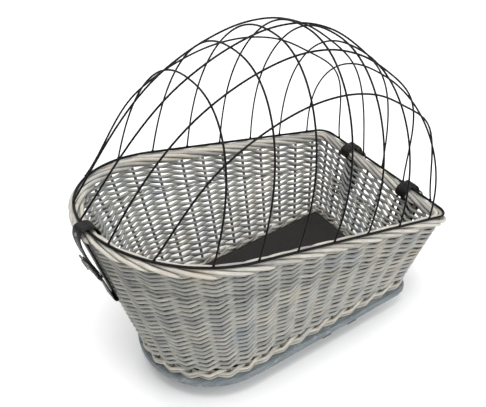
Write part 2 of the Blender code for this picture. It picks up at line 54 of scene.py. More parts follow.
RIM_LENGTH, RIM_WIDTH, RIM_ARC, RIM_CORNER = 0.545, 0.320, 0.176, 0.022
BOARD_LENGTH, BOARD_WIDTH, BOARD_ARC, BOARD_CORNER = 0.446, 0.264, 0.130, 0.025
RIM_SLOPE = math.radians(15.5)
RIM = Matrix.Translation((0.0015, 0.0, 0.2426)) @ Matrix.Rotation(RIM_SLOPE, 4, "Y")
FLOOR_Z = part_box("base_board")[1].z
WALL_FOOT_INSET = 0.007
BORDER_BOTTOM, BORDER_IN = -0.0163, 0.014

RIM_WIRE, HOOP_WIRE = 0.0020, 0.0014
HOOP_FIRST, HOOP_STEP, HOOP_COUNT = -0.1555, 0.0636, 7
HOOP_PEAK, HOOP_PEAK_X, HOOP_FALL = 0.2572, 0.0283, 1.99
HOOP_LEAN, HOOP_LEAN_X, HOOP_SQUARE = 0.645, 0.0315, 2.33
HOOP_SWELL = (0.0, 0.012, 0.045, 0.055, 0.055, 0.020, 0.020)
WIRE_SPARE = 0.0003  # more clearance where a long wire crosses a hoop
LONG_WIRES = {  # y at the start, first hoop, last hoop and end, then the leans of both ends
    "long_wire_centre": (0.0, 0.0, 0.0, 0.0, 0.60, 0.14),
    "long_wire_left_inner": (0.047, 0.058, 0.065, 0.050, 0.52, 0.30),
    "long_wire_left_outer": (0.111, 0.127, 0.110, 0.120, 0.70, 0.36),
    "long_wire_right_inner": (-0.062, -0.064, -0.067, -0.053, 0.44, 0.20),
    "long_wire_right_outer": (-0.114, -0.121, -0.110, -0.117, 0.65, 0.50),
}

STRAP_WIDTH, STRAP_THICK, TAIL_THICK = 0.022, 0.0020, 0.0016
STRAP_SPARE, GAP = 0.0010, 0.0003
TAIL_RUN = (0.005, 0.050)
BUCKLE_WIRE, PRONG_WIRE, BUCKLE_HIGH, BUCKLE_UP = 0.0014, 0.0008, 0.019, 0.0037
KEEPER_DOWN, KEEPER_LONG, KEEPER_THICK = 0.033, 0.007, 0.0012
KEEPER_SPARE = 0.0006
CAD_STEPS, FINER = 4, 2  # points from knot to knot in the CAD's strap, and times finer
RIVET_DOWN, RIVET_R, RIVET_HIGH = 0.001, 0.0027, 0.0012
CLOSING_RUN = (
    (0.0000, 0.0040), (0.0090, 0.0034), (0.0137, -0.0060), (0.0142, -0.0180),
    (0.0116, -0.0380), (0.0070, -0.0580), (0.0024, -0.0770), (-0.0016, -0.0940),
    (-0.0048, -0.1090), (-0.0076, -0.1240), (-0.0099, -0.1372), (-0.0134, -0.1416))
HINGE_RUN = (
    (0.0000, 0.0040), (0.0078, 0.0030), (0.0130, -0.0050), (0.0152, -0.0200),
    (0.0138, -0.0450), (0.0050, -0.0680), (-0.0075, -0.0880), (-0.0175, -0.1010),
    (-0.0245, -0.1040))
STRAPS = {  # side of the rim, y, outer run, buckle's place down the strap
    "closing": (-1, -0.0150, CLOSING_RUN, 0.046),  # beside the middle wire's foot
    "left_hinge": (1, 0.0800, HINGE_RUN, 0.012),
    "right_hinge": (1, -0.0680, HINGE_RUN, 0.012),
}

# ---------------- weave

STAKES = 38
STAKE_KNOTS = (  # some stakes' numbers and places along the rim
    (4, 0.1638), (6, 0.2500), (10, 0.4075), (28, 1.127), (31, 1.247), (34, 1.386))
STAKE_R = 0.0025
ROD_HIGH, ROD_DEEP = 0.0031, 0.0021  # half sizes of a weaving rod, pressed flat
STAKE_DIP = 0.0024  # how far a rod is beaten down at a stake
WALL_MIDDLE = -0.0059  # the stakes' line, in from the wall's outer face
WEAVE_START = 0.0165  # the weave's lowest height, above the foot's rows
LOWER_ROWS, LOWER_PITCH = 4, (0.0114, 0.0130)  # at the low end and at the tall end
UPPER_ROWS, UPPER_PITCH = 5, (0.0112, 0.0086)
MIDDLE_ROWS, MIDDLE_PITCH = 18, 0.0102
PER_STEP = 8  # points of a rod from one stake to the next
ROD_RUN, SHORTEST_REST = (15, 26), 5  # a rod's length and the least rest, in stakes
ROD_SIZES = (0.90, 1.08)  # a rod's own size, times the usual one
ROD_WANDER = 0.0010  # how far a rod strays up and down from its row
ROD_TAPER = 0.010  # over which a rod narrows at its ends
LAYER_FILL = 0.53  # half a rod's height at most, as a share of its layer
THINNEST_LAYER = 0.18 * MIDDLE_PITCH / 2  # a rod stops where its layer is thinner
SHARP = 0.975  # how straight a rod runs between stakes, below 1
ROD_TINTS, BETWEEN_STAKES_HIGHLIGHT = 0.8, 0.28  # range of shades, and a painted highlight that makes rods paler between stakes
STAKE_POINTS, STAKE_LOW = 14, 0.0005  # points up a stake, and its foot above the board
STAKE_INTO_BORDER = 0.002  # how far a stake's top goes into the border
STAKE_CUT, STRAP_CLEAR = 0.0055, 0.004  # how far it stops short beside a strap
FOOT_HALF = (0.0026, 0.0023)  # half sizes of a foot rod, across the wall and up it
FOOT_MIDDLE, FOOT_SWING = WALL_MIDDLE + 0.0020, 0.0042
FOOT_ROWS = ((0.0028, 0.0018), (0.0104, 0.0020))  # heights, and rises between stakes
FOOT_STRAY_OUT, FOOT_STRAY_UP, FOOT_STRAY_SIZE = 0.0010, 0.0030, 0.16

rng = random.Random(7)


def quarter_line(length, width, arc, corner):
    """Half an outline, from the middle of the round end to the middle of the straight end."""
    half = width / 2
    turn = np.linspace(math.pi, 1.5 * math.pi, 120, endpoint=False)
    round_end = np.column_stack([-length / 2 + arc + arc * np.cos(turn), half * np.sin(turn)])
    xs = np.linspace(-length / 2 + arc, length / 2 - corner, 100, endpoint=False)
    side = np.column_stack([xs, np.full(100, -half)])
    turn = np.linspace(-math.pi / 2, 0, 20, endpoint=False)
    bend = np.column_stack([length / 2 - corner + corner * np.cos(turn),
                            -half + corner + corner * np.sin(turn)])
    ys = np.linspace(-(half - corner), 0, 41)
    return np.vstack([round_end, side, bend, np.column_stack([np.full(41, length / 2), ys])])


class Outline:
    """A closed D outline whose points are matched by the share along each of its stretches."""

    def __init__(self, length, width, arc, corner):
        near = quarter_line(length, width, arc, corner)
        far = near[::-1][1:-1] * (1, -1)
        self.points = np.vstack([near, far])
        ahead, behind = np.roll(self.points, -1, 0), np.roll(self.points, 1, 0)
        way = ahead - behind
        way /= np.linalg.norm(way, axis=1)[:, None]
        self.normals = np.stack([way[:, 1], -way[:, 0]], axis=1)
        steps = np.linalg.norm(np.diff(np.vstack([self.points, self.points[:1]]), axis=0), axis=1)
        self.along = np.concatenate([[0], np.cumsum(steps)])
        self.total = self.along[-1]

    def share(self, u):
        """The index, with its fraction, of the point at u along the outline."""
        return np.interp(np.mod(u, self.total), self.along, np.arange(len(self.along)))

    def at(self, share, out):
        """Points at these shares, moved outwards."""
        count = len(self.points)
        low = np.floor(share).astype(int)
        t = (share - low)[:, None]
        a, b = low % count, (low + 1) % count
        points = self.points[a] * (1 - t) + self.points[b] * t
        normals = self.normals[a] * (1 - t) + self.normals[b] * t
        normals /= np.linalg.norm(normals, axis=1)[:, None]
        return points + normals * np.asarray(out).reshape(-1, 1), normals


rim_line = Outline(RIM_LENGTH, RIM_WIDTH, RIM_ARC, RIM_CORNER)
foot_line = Outline(BOARD_LENGTH, BOARD_WIDTH, BOARD_ARC, BOARD_CORNER)
RIM_NP = np.array(RIM)


def stake_place(number):
    """Where the stakes stand along the rim. A number can lie between two stakes."""
    knots = np.array(STAKE_KNOTS + ((STAKE_KNOTS[0][0] + STAKES,
                                     STAKE_KNOTS[0][1] + rim_line.total),))
    turns = np.floor((number - knots[0, 0]) / STAKES)
    along = np.interp(number - turns * STAKES, knots[:, 0], knots[:, 1])
    return along + turns * rim_line.total


def on_rim(u, out, up):
    """Points beside the rim: out from its outline and up along the rim plane's normal."""
    flat, _ = rim_line.at(rim_line.share(u), out)
    points = np.column_stack([flat, np.broadcast_to(up, len(flat)), np.ones(len(flat))])
    return (points @ RIM_NP.T)[:, :3]


def on_wall(u, height, out):
    """Points of the wall. height is in metres up its slope from the board."""
    share = rim_line.share(u)
    foot_out = -WALL_FOOT_INSET + np.asarray(out)
    foot_flat, _ = foot_line.at(share, foot_out)
    foot = np.column_stack([foot_flat, np.full(len(foot_flat), FLOOR_Z + GAP)])
    top = on_rim(u, out, BORDER_BOTTOM)
    slant = np.linalg.norm(top - foot, axis=1)
    return foot + (top - foot) * (height / slant)[:, None]


def wall_height(u):
    return np.linalg.norm(on_rim(u, 0.0, BORDER_BOTTOM)
                          - on_wall(u, np.zeros(len(u)), 0.0), axis=1)


# ---------------- mesh builders

def frames_along(path, closed, up):
    """Side and up vectors across a path, with up kept near the given direction."""
    if closed:
        way = np.roll(path, -1, 0) - np.roll(path, 1, 0)
    else:
        way = np.gradient(path, axis=0)
    way /= np.linalg.norm(way, axis=1)[:, None] + 1e-12
    up = np.broadcast_to(up, path.shape)
    side = np.cross(way, up)
    side /= np.linalg.norm(side, axis=1)[:, None] + 1e-12
    return side, np.cross(side, way)


def quads(rings, sides, closed):
    """The faces between rings of points, and from the last to the first if closed."""
    i, j = np.arange(rings if closed else rings - 1)[:, None], np.arange(sides)[None]
    i2, j2 = (i + 1) % rings, (j + 1) % sides
    faces = (i * sides + j, i * sides + j2, i2 * sides + j2, i2 * sides + j)
    return np.stack(faces, -1).reshape(-1, 4)


class Tubes:
    """Gathers tubes, then makes them into one mesh with UVs and a tint for each tube."""

    def __init__(self, name, sides=8):
        self.name, self.sides = name, sides
        self.points, self.faces, self.uvs, self.tints = [], [], [], []
        self.count = 0

    def add(self, path, deep, high, closed=False, up=(0.0, 0.0, 1.0), tint=None, taper=0.0):
        """A tube along the path. deep and high are its half sizes sideways and upwards.

        tint is one shade, or one for each point of the path. taper is the length over which an
        open tube narrows at its ends.
        """
        path = np.asarray(path, float)
        n, sides = len(path), self.sides
        side, upward = frames_along(path, closed, np.asarray(up, float))
        lengths = np.concatenate([[0], np.cumsum(np.linalg.norm(np.diff(path, axis=0), axis=1))])
        scale = np.ones(n)
        if taper and not closed:
            edge = np.minimum(lengths, lengths[-1] - lengths)
            scale = np.sqrt(np.clip(edge / taper, 0.03, 1.0))
        deep = np.broadcast_to(deep, n) * scale
        high = np.broadcast_to(high, n) * scale
        turn = np.arange(sides) * 2 * math.pi / sides
        ring = (path[:, None] + side[:, None] * (np.cos(turn) * deep[:, None])[..., None]
                + upward[:, None] * (np.sin(turn) * high[:, None])[..., None])
        tint = rng.random() if tint is None else tint
        base = self.count
        self.points.append(ring.reshape(-1, 3))
        self.faces += (quads(n, sides, closed) + base).tolist()
        i, j = np.arange(n if closed else n - 1)[:, None], np.arange(sides)[None]
        total = lengths[-1] + (np.linalg.norm(path[0] - path[-1]) if closed else 0)
        ends = np.append(lengths, total)
        corners = np.stack(np.broadcast_arrays(
            ends[i], j / sides, ends[i], (j + 1) / sides,
            ends[i + 1], (j + 1) / sides, ends[i + 1], j / sides), -1)
        self.uvs.append(corners.reshape(-1, 2))
        self.tints.append(np.repeat(np.broadcast_to(tint, n), sides).astype(np.float32))
        if not closed:
            self.faces.append([base + k for k in range(sides)][::-1])
            self.faces.append([base + (n - 1) * sides + k for k in range(sides)])
            self.uvs.append(np.zeros((2 * sides, 2)))
        self.count += n * sides

    def build(self, looks, body, *nodes, slot=None):
        data = bpy.data.meshes.new(self.name)
        data.from_pydata(np.vstack(self.points).tolist(), [], self.faces)
        data.uv_layers.new(name="UVMap").data.foreach_set("uv", np.vstack(self.uvs).ravel())
        tint = data.attributes.new("tint", "FLOAT", "POINT")
        tint.data.foreach_set("value", np.concatenate(self.tints))
        data.update()
        return place(self.name, data, looks, body, *nodes, slot=slot)


def closed_mesh(name, points, faces):
    """A mesh whose faces all look outwards."""
    data = bpy.data.meshes.new(name)
    data.from_pydata(points, [], faces)
    bm = bmesh.new()
    bm.from_mesh(data)
    bmesh.ops.recalc_face_normals(bm, faces=bm.faces)
    bm.to_mesh(data)
    bm.free()
    return data


def place(name, data, looks, body, *nodes, slot=None):
    """A piece in the scene: smooth, with its material, riding its body, for its CAD nodes."""
    data.shade_smooth()
    data.set_sharp_from_angle(angle=math.radians(50))
    data.materials.append(looks)
    obj = bpy.data.objects.new(name, data)
    bpy.context.scene.collection.objects.link(obj)
    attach(obj, body)
    if nodes:
        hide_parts(*nodes)
    return obj


def tube(name, sides, path, deep, high, looks, body, *nodes, slot, **options):
    """A piece that is one tube of an even shade."""
    made = Tubes(name, sides)
    made.add(path, deep, high, tint=0.5, **options)
    made.build(looks, body, *nodes, slot=slot)


# ---------------- materials

class Looks:
    """A material with a Principled shader, and short ways to add nodes to it."""

    def __init__(self, name, roughness=0.5, metallic=0.0, **sockets):
        self.material = bpy.data.materials.new(name)
        self.material.use_nodes = True
        self.tree = self.material.node_tree
        self.shader = self.tree.nodes["Principled BSDF"]
        self.set(self.shader, Roughness=roughness, Metallic=metallic, **sockets)

    @staticmethod
    def set(node, **values):
        for key, value in values.items():
            node.inputs[key.replace("_", " ")].default_value = value

    def node(self, kind, links=None, inputs=None, **settings):
        """A node with its settings, its input values by name or index, and its links."""
        made = self.tree.nodes.new(kind)
        for key, value in settings.items():
            setattr(made, key, value)
        for key, value in (inputs or {}).items():
            made.inputs[key].default_value = value
        for key, socket in (links or {}).items():
            self.tree.links.new(socket, made.inputs[key])
        return made

    def coordinates(self, output="Object", scale=(1.0, 1.0, 1.0)):
        source = self.node("ShaderNodeTexCoord").outputs[output]
        return self.node("ShaderNodeMapping", {"Vector": source}, {"Scale": scale}).outputs[0]

    def noise(self, vector, scale, detail, roughness):
        return self.node("ShaderNodeTexNoise", {"Vector": vector},
                         {"Scale": scale, "Detail": detail, "Roughness": roughness}).outputs[0]

    def cloud(self, scale, detail=3.0, roughness=0.6, stretch=(1.0, 1.0, 1.0)):
        """Noise in the object's own space."""
        return self.noise(self.coordinates(scale=stretch), scale, detail, roughness)

    def ramp(self, factor, *stops):
        """Colours along a factor, from (position, colour) stops."""
        made = self.node("ShaderNodeValToRGB", {"Fac": factor})
        elements = made.color_ramp.elements
        while len(elements) < len(stops):
            elements.new(0.5)
        for element, (at, colour) in zip(elements, stops):
            element.position, element.color = at, (*colour, 1.0)
        return made.outputs[0]

    def patches(self, factor, low, high, most=1.0):
        return self.ramp(factor, (low, (0, 0, 0)), (high, (most,) * 3))

    def mix(self, factor, a, b, blend="MIX"):
        made = self.node("ShaderNodeMix", data_type="RGBA", blend_type=blend)
        for index, value in ((0, factor), (6, a), (7, b)):
            if hasattr(value, "is_linked"):
                self.tree.links.new(value, made.inputs[index])
            elif index:
                made.inputs[index].default_value = (*value, 1.0)
            else:
                made.inputs[0].default_value = value
        return made.outputs[2]

    def maths(self, operation, a, b=0.5, c=None):
        made = self.node("ShaderNodeMath", operation=operation)
        for index, value in enumerate((a, b, c)):
            if hasattr(value, "is_linked"):
                self.tree.links.new(value, made.inputs[index])
            elif value is not None:
                made.inputs[index].default_value = value
        return made.outputs[0]

    def colour(self, socket):
        self.tree.links.new(socket, self.shader.inputs["Base Color"])

    def roughness(self, factor, low, high):
        made = self.node("ShaderNodeMapRange", {"Value": factor}, {"To Min": low, "To Max": high})
        self.tree.links.new(made.outputs[0], self.shader.inputs["Roughness"])

    def bump(self, height, distance, strength=1.0):
        made = self.node("ShaderNodeBump", {"Height": height},
                         {"Distance": distance, "Strength": strength})
        self.tree.links.new(made.outputs[0], self.shader.inputs["Normal"])


def willow(name, dark, pale, warm, cool, worn=0.5):
    """Stained or peeled willow: streaks along each rod, a tint for each, and weathered patches."""
    looks = Looks(name, roughness=0.65)
    along = looks.coordinates("UV", (9.0, 3.0, 1.0))
    streaks = looks.noise(along, 7.0, 4.0, 0.6)
    base = looks.ramp(streaks, (0.30, dark), (0.64, pale))
    # tint carries each rod's own shade, and on the woven wall also a painted highlight between
    # stakes
    tint = looks.node("ShaderNodeAttribute", attribute_name="tint").outputs["Fac"]
    shade = looks.ramp(tint, (0.0, (0.60, 0.61, 0.63)), (0.5, (0.92, 0.92, 0.91)),
                       (1.0, (1.16, 1.13, 1.07)))
    base = looks.mix(1.0, base, shade, "MULTIPLY")
    patches = looks.cloud(17.0, stretch=(1.0, 1.0, 1.6))
    base = looks.mix(looks.patches(patches, 0.53, 0.72), base, warm)
    chill = looks.cloud(11.0, stretch=(1.3, 1.3, 1.0))
    base = looks.mix(looks.patches(chill, 0.54, 0.75, worn), base, cool)
    looks.colour(base)
    looks.roughness(streaks, 0.5, 0.8)
    looks.bump(looks.noise(along, 16.0, 5.0, 0.7), 0.0006, 0.6)
    return looks.material


GREY_WILLOW = willow("grey_willow", (0.185, 0.188, 0.178), (0.43, 0.432, 0.405),
                     (0.38, 0.352, 0.295), (0.235, 0.260, 0.280), 0.8)
CREAM_WILLOW = willow("cream_willow", (0.265, 0.253, 0.226), (0.58, 0.563, 0.515),
                      (0.44, 0.395, 0.325), (0.34, 0.352, 0.350), 0.8)
DARK_WILLOW = willow("stake_willow", (0.10, 0.092, 0.078), (0.20, 0.185, 0.16),
                     (0.16, 0.13, 0.10), (0.14, 0.15, 0.15))


def stained_board():
    looks = Looks("stained_board", roughness=0.7)
    grain = looks.cloud(6.0, 5.0, 0.65, stretch=(4.0, 40.0, 60.0))
    cloud = looks.cloud(22.0, 4.0, 0.65, stretch=(1.0, 1.0, 2.0))
    scuffs = looks.cloud(55.0, 4.0, 0.7, stretch=(1.0, 1.0, 2.5))
    base = looks.ramp(grain, (0.32, (0.085, 0.106, 0.120)), (0.64, (0.215, 0.245, 0.258)))
    base = looks.mix(looks.patches(cloud, 0.45, 0.70, 0.75), base, (0.145, 0.165, 0.175))
    base = looks.mix(looks.patches(scuffs, 0.56, 0.70, 0.8), base, (0.40, 0.40, 0.37))
    looks.colour(base)
    looks.roughness(grain, 0.6, 0.85)
    looks.bump(looks.maths("ADD", grain, scuffs), 0.0010, 0.6)
    return looks.material


def felt():
    looks = Looks("charcoal_felt", roughness=0.95, Sheen_Weight=0.12, Sheen_Roughness=0.5,
                  Specular_IOR_Level=0.2)
    fuzz = looks.cloud(900.0, 3.0, 0.7)
    blotch = looks.cloud(28.0)
    base = looks.ramp(fuzz, (0.3, (0.013, 0.0122, 0.0120)), (0.7, (0.036, 0.0335, 0.0325)))
    base = looks.mix(looks.patches(blotch, 0.4, 0.8, 0.5), base, (0.029, 0.0272, 0.0265))
    looks.colour(base)
    looks.bump(fuzz, 0.0012, 0.7)
    return looks.material


def leather(name, dark, pale, roughness):
    looks = Looks(name, roughness=0.5, Specular_IOR_Level=0.14)
    grain = looks.node("ShaderNodeTexVoronoi", {"Vector": looks.coordinates()},
                       {"Scale": 1400.0}, feature="DISTANCE_TO_EDGE").outputs[0]
    cloud = looks.cloud(120.0, 4.0)
    looks.colour(looks.ramp(cloud, (0.35, dark), (0.75, pale)))
    looks.roughness(cloud, roughness - 0.1, roughness + 0.12)
    looks.bump(looks.maths("MINIMUM", grain, 0.25), 0.0006, 0.5)
    return looks.material


def coated_wire():
    looks = Looks("black_wire", roughness=0.40, Specular_IOR_Level=0.1)
    specks = looks.cloud(260.0)
    looks.colour(looks.ramp(specks, (0.3, (0.0035, 0.0035, 0.004)),
                            (0.75, (0.0075, 0.0075, 0.008))))
    looks.roughness(specks, 0.34, 0.5)
    looks.bump(specks, 0.0002, 0.3)
    return looks.material


def metal(name, dark, pale, roughness, scale=140.0, metallic=1.0):
    looks = Looks(name, roughness=roughness, metallic=metallic)
    cloud = looks.cloud(scale, 4.0, 0.65)
    scratch = looks.cloud(scale * 3, stretch=(1.0, 1.0, 9.0))
    looks.colour(looks.ramp(cloud, (0.35, dark), (0.7, pale)))
    looks.roughness(scratch, roughness - 0.08, roughness + 0.16)
    looks.bump(scratch, 0.0002, 0.35)
    return looks.material


BOARD = stained_board()
FELT = felt()
LEATHER = leather("black_leather", (0.0035, 0.0035, 0.0035), (0.009, 0.0085, 0.008), 0.36)
THREAD = leather("waxed_thread", (0.02, 0.02, 0.02), (0.045, 0.044, 0.042), 0.65)
WIRE = coated_wire()
NICKEL = metal("dark_nickel", (0.12, 0.118, 0.110), (0.32, 0.315, 0.30), 0.26)
BLACK_STEEL = metal("black_steel", (0.012, 0.012, 0.012), (0.028, 0.028, 0.028), 0.42,
                    metallic=0.2)
ZINC = metal("zinc", (0.40, 0.41, 0.43), (0.60, 0.61, 0.63), 0.34)


# ---------------- camera, lights and floor

CAMERA_ANGLES = (-28.49, 38.31, -5.63)  # degrees round the object, up, and of roll
CAMERA_AT = (-0.3948, -0.7089, 0.8658)
CAMERA_SENSOR, CAMERA_LENS = 36.0, 49.49  # millimetres
CAMERA_SHIFT = (-0.0070, -0.0049)
LIGHTS = (  # name, place, size and power
    ("key", (-0.15, -0.45, 2.2), 1.1, 27.0),
    ("fill", (0.9, -1.7, 1.2), 1.5, 18.0),
    ("back", (0.3, 1.6, 1.8), 1.4, 14.0))
LIGHTS_AIM = Vector((0, 0, 0.15))
SKY_STRENGTH = 0.75
FLOOR_SIZE, FLOOR_CLEAR = 30.0, 0.0002


def camera():
    turn, tilt, roll = (math.radians(angle) for angle in CAMERA_ANGLES)
    back = Vector((math.sin(turn) * math.cos(tilt), -math.cos(turn) * math.cos(tilt),
                   math.sin(tilt)))
    right = Vector((math.cos(turn), math.sin(turn), 0))
    above = back.cross(right)
    rolled_right = right * math.cos(roll) + above * math.sin(roll)
    rolled_above = above * math.cos(roll) - right * math.sin(roll)
    made = bpy.data.objects.new("camera", bpy.data.cameras.new("camera"))
    bpy.context.scene.collection.objects.link(made)
    turned = Matrix((rolled_right, rolled_above, back)).transposed().to_4x4()
    made.matrix_world = Matrix.Translation(CAMERA_AT) @ turned
    made.data.sensor_width, made.data.lens = CAMERA_SENSOR, CAMERA_LENS
    made.data.shift_x, made.data.shift_y = CAMERA_SHIFT
    bpy.context.scene.camera = made


def area_light(name, place_at, size, power):
    data = bpy.data.lights.new(name, "AREA")
    data.shape, data.size, data.energy = "DISK", size, power
    lamp = bpy.data.objects.new(name, data)
    lamp.location = place_at
    lamp.rotation_euler = (LIGHTS_AIM - Vector(place_at)).to_track_quat("-Z", "Y").to_euler()
    bpy.context.scene.collection.objects.link(lamp)


def studio():
    world = bpy.data.worlds.new("studio")
    bpy.context.scene.world = world
    world.use_nodes = True
    sky = world.node_tree.nodes["Background"]
    sky.inputs["Color"].default_value = (1.0, 1.0, 1.0, 1.0)
    sky.inputs["Strength"].default_value = SKY_STRENGTH
    for light in LIGHTS:
        area_light(*light)
    low = min(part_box(name)[0].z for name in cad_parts) - FLOOR_CLEAR
    bpy.ops.mesh.primitive_plane_add(size=FLOOR_SIZE, location=(0, 0, low))
    floor = bpy.context.object
    floor.name = "floor"
    looks = Looks("floor", roughness=0.9)
    paper = looks.cloud(3.0, 3.0, 0.5)
    looks.colour(looks.ramp(paper, (0.3, (0.93,) * 3), (0.7, (0.95,) * 3)))
    floor.data.materials.append(looks.material)
    bpy.context.scene.view_settings.view_transform = "Standard"


# ---------------- woven wall

def row_bounds(u):
    """The heights between rows at the places u, from the board to the border.

    Lower rows follow the board and upper rows the border. The rows between them end one after
    another towards the low end of the basket.
    """
    high = wall_height(u)
    t = (high - high.min()) / (high.max() - high.min())
    lower = LOWER_PITCH[0] * (1 - t) + LOWER_PITCH[1] * t
    upper = UPPER_PITCH[0] * (1 - t) + UPPER_PITCH[1] * t
    spare = high - WEAVE_START - LOWER_ROWS * lower - UPPER_ROWS * upper
    bounds = [WEAVE_START + lower * i for i in range(LOWER_ROWS + 1)]
    for i in range(MIDDLE_ROWS):
        thick = np.clip(spare - i * MIDDLE_PITCH, 0, MIDDLE_PITCH)
        bounds.append(bounds[-1] + thick)
    bounds += [high - upper * (UPPER_ROWS - 1 - i) for i in range(UPPER_ROWS + 1)]
    return np.array(bounds)


def triangle_wave(turns):
    """A wave from -1 to 1 with straight sides and slightly rounded tips, 1 at whole turns."""
    return np.arcsin(SHARP * np.cos(2 * math.pi * turns)) / math.asin(SHARP)


def runs_of(alive):
    """(first, last + 1) of each unbroken run of True."""
    edges = np.flatnonzero(np.diff(np.concatenate([[0], alive.astype(int), [0]])))
    return list(zip(edges[::2], edges[1::2]))


def woven_wall():
    """French randing: a rod starts at every stake, goes in front of one stake and behind the
    next, and climbs half a row at each."""
    weave = Tubes("willow_weave", 8)
    rows = LOWER_ROWS + MIDDLE_ROWS + UPPER_ROWS + 1
    swing = STAKE_R + ROD_DEEP
    steps = np.arange(int((2 * rows - 1.5) * PER_STEP)) / PER_STEP + 0.5
    across, at_stake = triangle_wave(steps / 2), (1 + triangle_wave(steps)) / 2
    for rod in range(STAKES):
        u = stake_place(rod + steps)
        bounds = row_bounds(u)
        row, index = steps / 2, np.arange(len(steps))
        below = np.floor(row).astype(int)
        low, high = bounds[below, index], bounds[below + 1, index]
        wobble = np.array([noise.noise((s * 0.45, rod * 3.7, 0.0)) for s in steps])
        height = low + (high - low) * (row - below) + wobble * ROD_WANDER
        height -= STAKE_DIP * at_stake
        window = 2 * PER_STEP + 1
        layer = np.convolve(np.pad(high - low, PER_STEP, "edge"), np.ones(window) / window,
                            "valid") / 2
        path = on_wall(u, height, WALL_MIDDLE + swing * across)
        for first, last in runs_of(layer > THINNEST_LAYER):
            while last - first > PER_STEP:
                end = min(last, first + int(PER_STEP * rng.uniform(*ROD_RUN)))
                if last - end < SHORTEST_REST * PER_STEP:
                    end = last
                size = rng.uniform(*ROD_SIZES)
                kept = slice(first, end)
                # each rod's own shade, plus a painted highlight that lightens the rod between
                # stakes
                tint = rng.random() * ROD_TINTS + BETWEEN_STAKES_HIGHLIGHT * (1 - at_stake[kept])
                weave.add(path[kept], ROD_DEEP * size,
                          np.minimum(ROD_HIGH * size, layer[kept] * LAYER_FILL),
                          tint=tint, taper=ROD_TAPER)
                first = end - PER_STEP if end < last else last
    weave.build(GREY_WILLOW, "basket", "wicker_wall", slot="willow_wall")


def stakes():
    """The upright stakes, cut short where a strap's loop passes over them."""
    made = Tubes("willow_stakes", 8)
    strap_us = []
    for side, y, _, _ in STRAPS.values():
        xs, ys = rim_line.points.T
        near = np.argmin(np.hypot(xs - side * RIM_LENGTH / 2, ys - y))
        strap_us.append(rim_line.along[near])
    for k in range(STAKES):
        at = float(stake_place(k))
        high = float(wall_height(np.array([at]))[0])
        apart = min(abs((at - s + rim_line.total / 2) % rim_line.total - rim_line.total / 2)
                    for s in strap_us)
        by_strap = apart < STRAP_WIDTH / 2 + STRAP_CLEAR
        top = high - STAKE_CUT if by_strap else high + STAKE_INTO_BORDER
        heights = np.linspace(STAKE_LOW, top, STAKE_POINTS)
        path = on_wall(np.full(STAKE_POINTS, at), heights, WALL_MIDDLE)
        made.add(path, STAKE_R, STAKE_R, up=(0.3, 0.1, 0.02))
    made.build(DARK_WILLOW, "basket", slot="willow_wall")


# ---------------- border and foot

BORDER_COURSE = (  # out and up across the border, as a stake is laid along it
    (-0.0098, -0.0160), (-0.0112, -0.0118), (-0.0114, -0.0070), (-0.0084, -0.0047),
    (-0.0030, -0.0050), (0.0024, -0.0057), (0.0046, -0.0092), (0.0040, -0.0132))
BORDER_RUN, BORDER_RUN_SPREAD = 4.2, 0.5  # how many stake steps one rod is laid over
BORDER_ROD, BORDER_ROD_SPREAD = 0.0029, 0.0003  # its half size at the start
BORDER_NARROWS, BORDER_STRAY = 0.25, 0.0006
BORDER_CORES = ((-0.0068, -0.0125), (-0.0012, -0.0115))  # out and up of the rods inside
BORDER_CORE_R = 0.0030


def border():
    """Rods laid along the rim one after another, over two that fill the middle."""
    plait = Tubes("border_plait", 10)
    course = np.array(BORDER_COURSE)
    knots = np.linspace(0, 1, len(course))
    share = np.linspace(0, 1, 40)
    out, up = (np.interp(share, knots, course[:, i]) for i in (0, 1))
    for line in (out, up) * 3:
        line[1:-1] = (line[:-2] + line[1:-1] * 2 + line[2:]) / 4
    for k in range(STAKES):
        run = BORDER_RUN + BORDER_RUN_SPREAD * (rng.random() - 0.5)
        u = stake_place(k + share * run)
        stray = BORDER_STRAY * (rng.random() - 0.5)
        path = on_rim(u, out + stray, up)
        size = BORDER_ROD + BORDER_ROD_SPREAD * rng.random()
        plait.add(path, size, size * (1 - BORDER_NARROWS * share), taper=ROD_TAPER)
    for out_at, up_at in BORDER_CORES:
        u = np.linspace(0, rim_line.total, 260, endpoint=False)
        plait.add(on_rim(u, out_at, up_at), BORDER_CORE_R, BORDER_CORE_R, True, tint=0.3)
    plait.build(CREAM_WILLOW, "basket", "top_border", slot="willow_peeled")


def foot():
    """Rows of two thick rods that cross between the stakes and dip at each stake."""
    twist = Tubes("foot_twist", 10)
    steps = np.arange(STAKES * 2 * PER_STEP) / (2 * PER_STEP)
    between = (1 - triangle_wave(steps)) / 2
    for row_low, rise in FOOT_ROWS:
        for side in (0, 1):
            wobble = np.array([noise.noise((s * 0.6, row_low * 900, side * 5.0)) for s in steps])
            stray = wobble * np.clip(np.minimum(steps, STAKES - steps), 0, 1)
            turned = (steps + side) / 2
            over = triangle_wave(turned)
            height = row_low + rise * between + FOOT_HALF[1] * np.sin(2 * math.pi * turned)
            out = FOOT_MIDDLE + over * FOOT_SWING + stray * FOOT_STRAY_OUT
            u = stake_place(steps)
            size = 1 + FOOT_STRAY_SIZE * stray
            twist.add(on_wall(u, height + stray * FOOT_STRAY_UP, out),
                      FOOT_HALF[0] * size, FOOT_HALF[1] * size, True)
    twist.build(CREAM_WILLOW, "basket", "foot_band", slot="willow_peeled")


# ---------------- mat

MAT_EDGE_IN = 0.0052  # from the stakes' line to the mat's edge
MAT_DRAWN = 0.006  # the thickness that the profile's heights are drawn for
MAT_PROFILE = (  # inwards from the edge, and up from the underside
    (0.0012, 0.0), (0.0002, 0.0008), (0.0, 0.0024), (0.0004, 0.0040), (0.0014, 0.0052),
    (0.0030, 0.0058), (0.0055, 0.0058), (0.0066, 0.0049), (0.0077, 0.0057), (0.0100, 0.0059))
MAT_MIDDLE, MAT_MIDDLE_HIGH = (0.02, 0.0), 0.93  # its place, and its height of the thickness
MAT_SINKS, MAT_UNEVEN = 0.0004, 0.00035


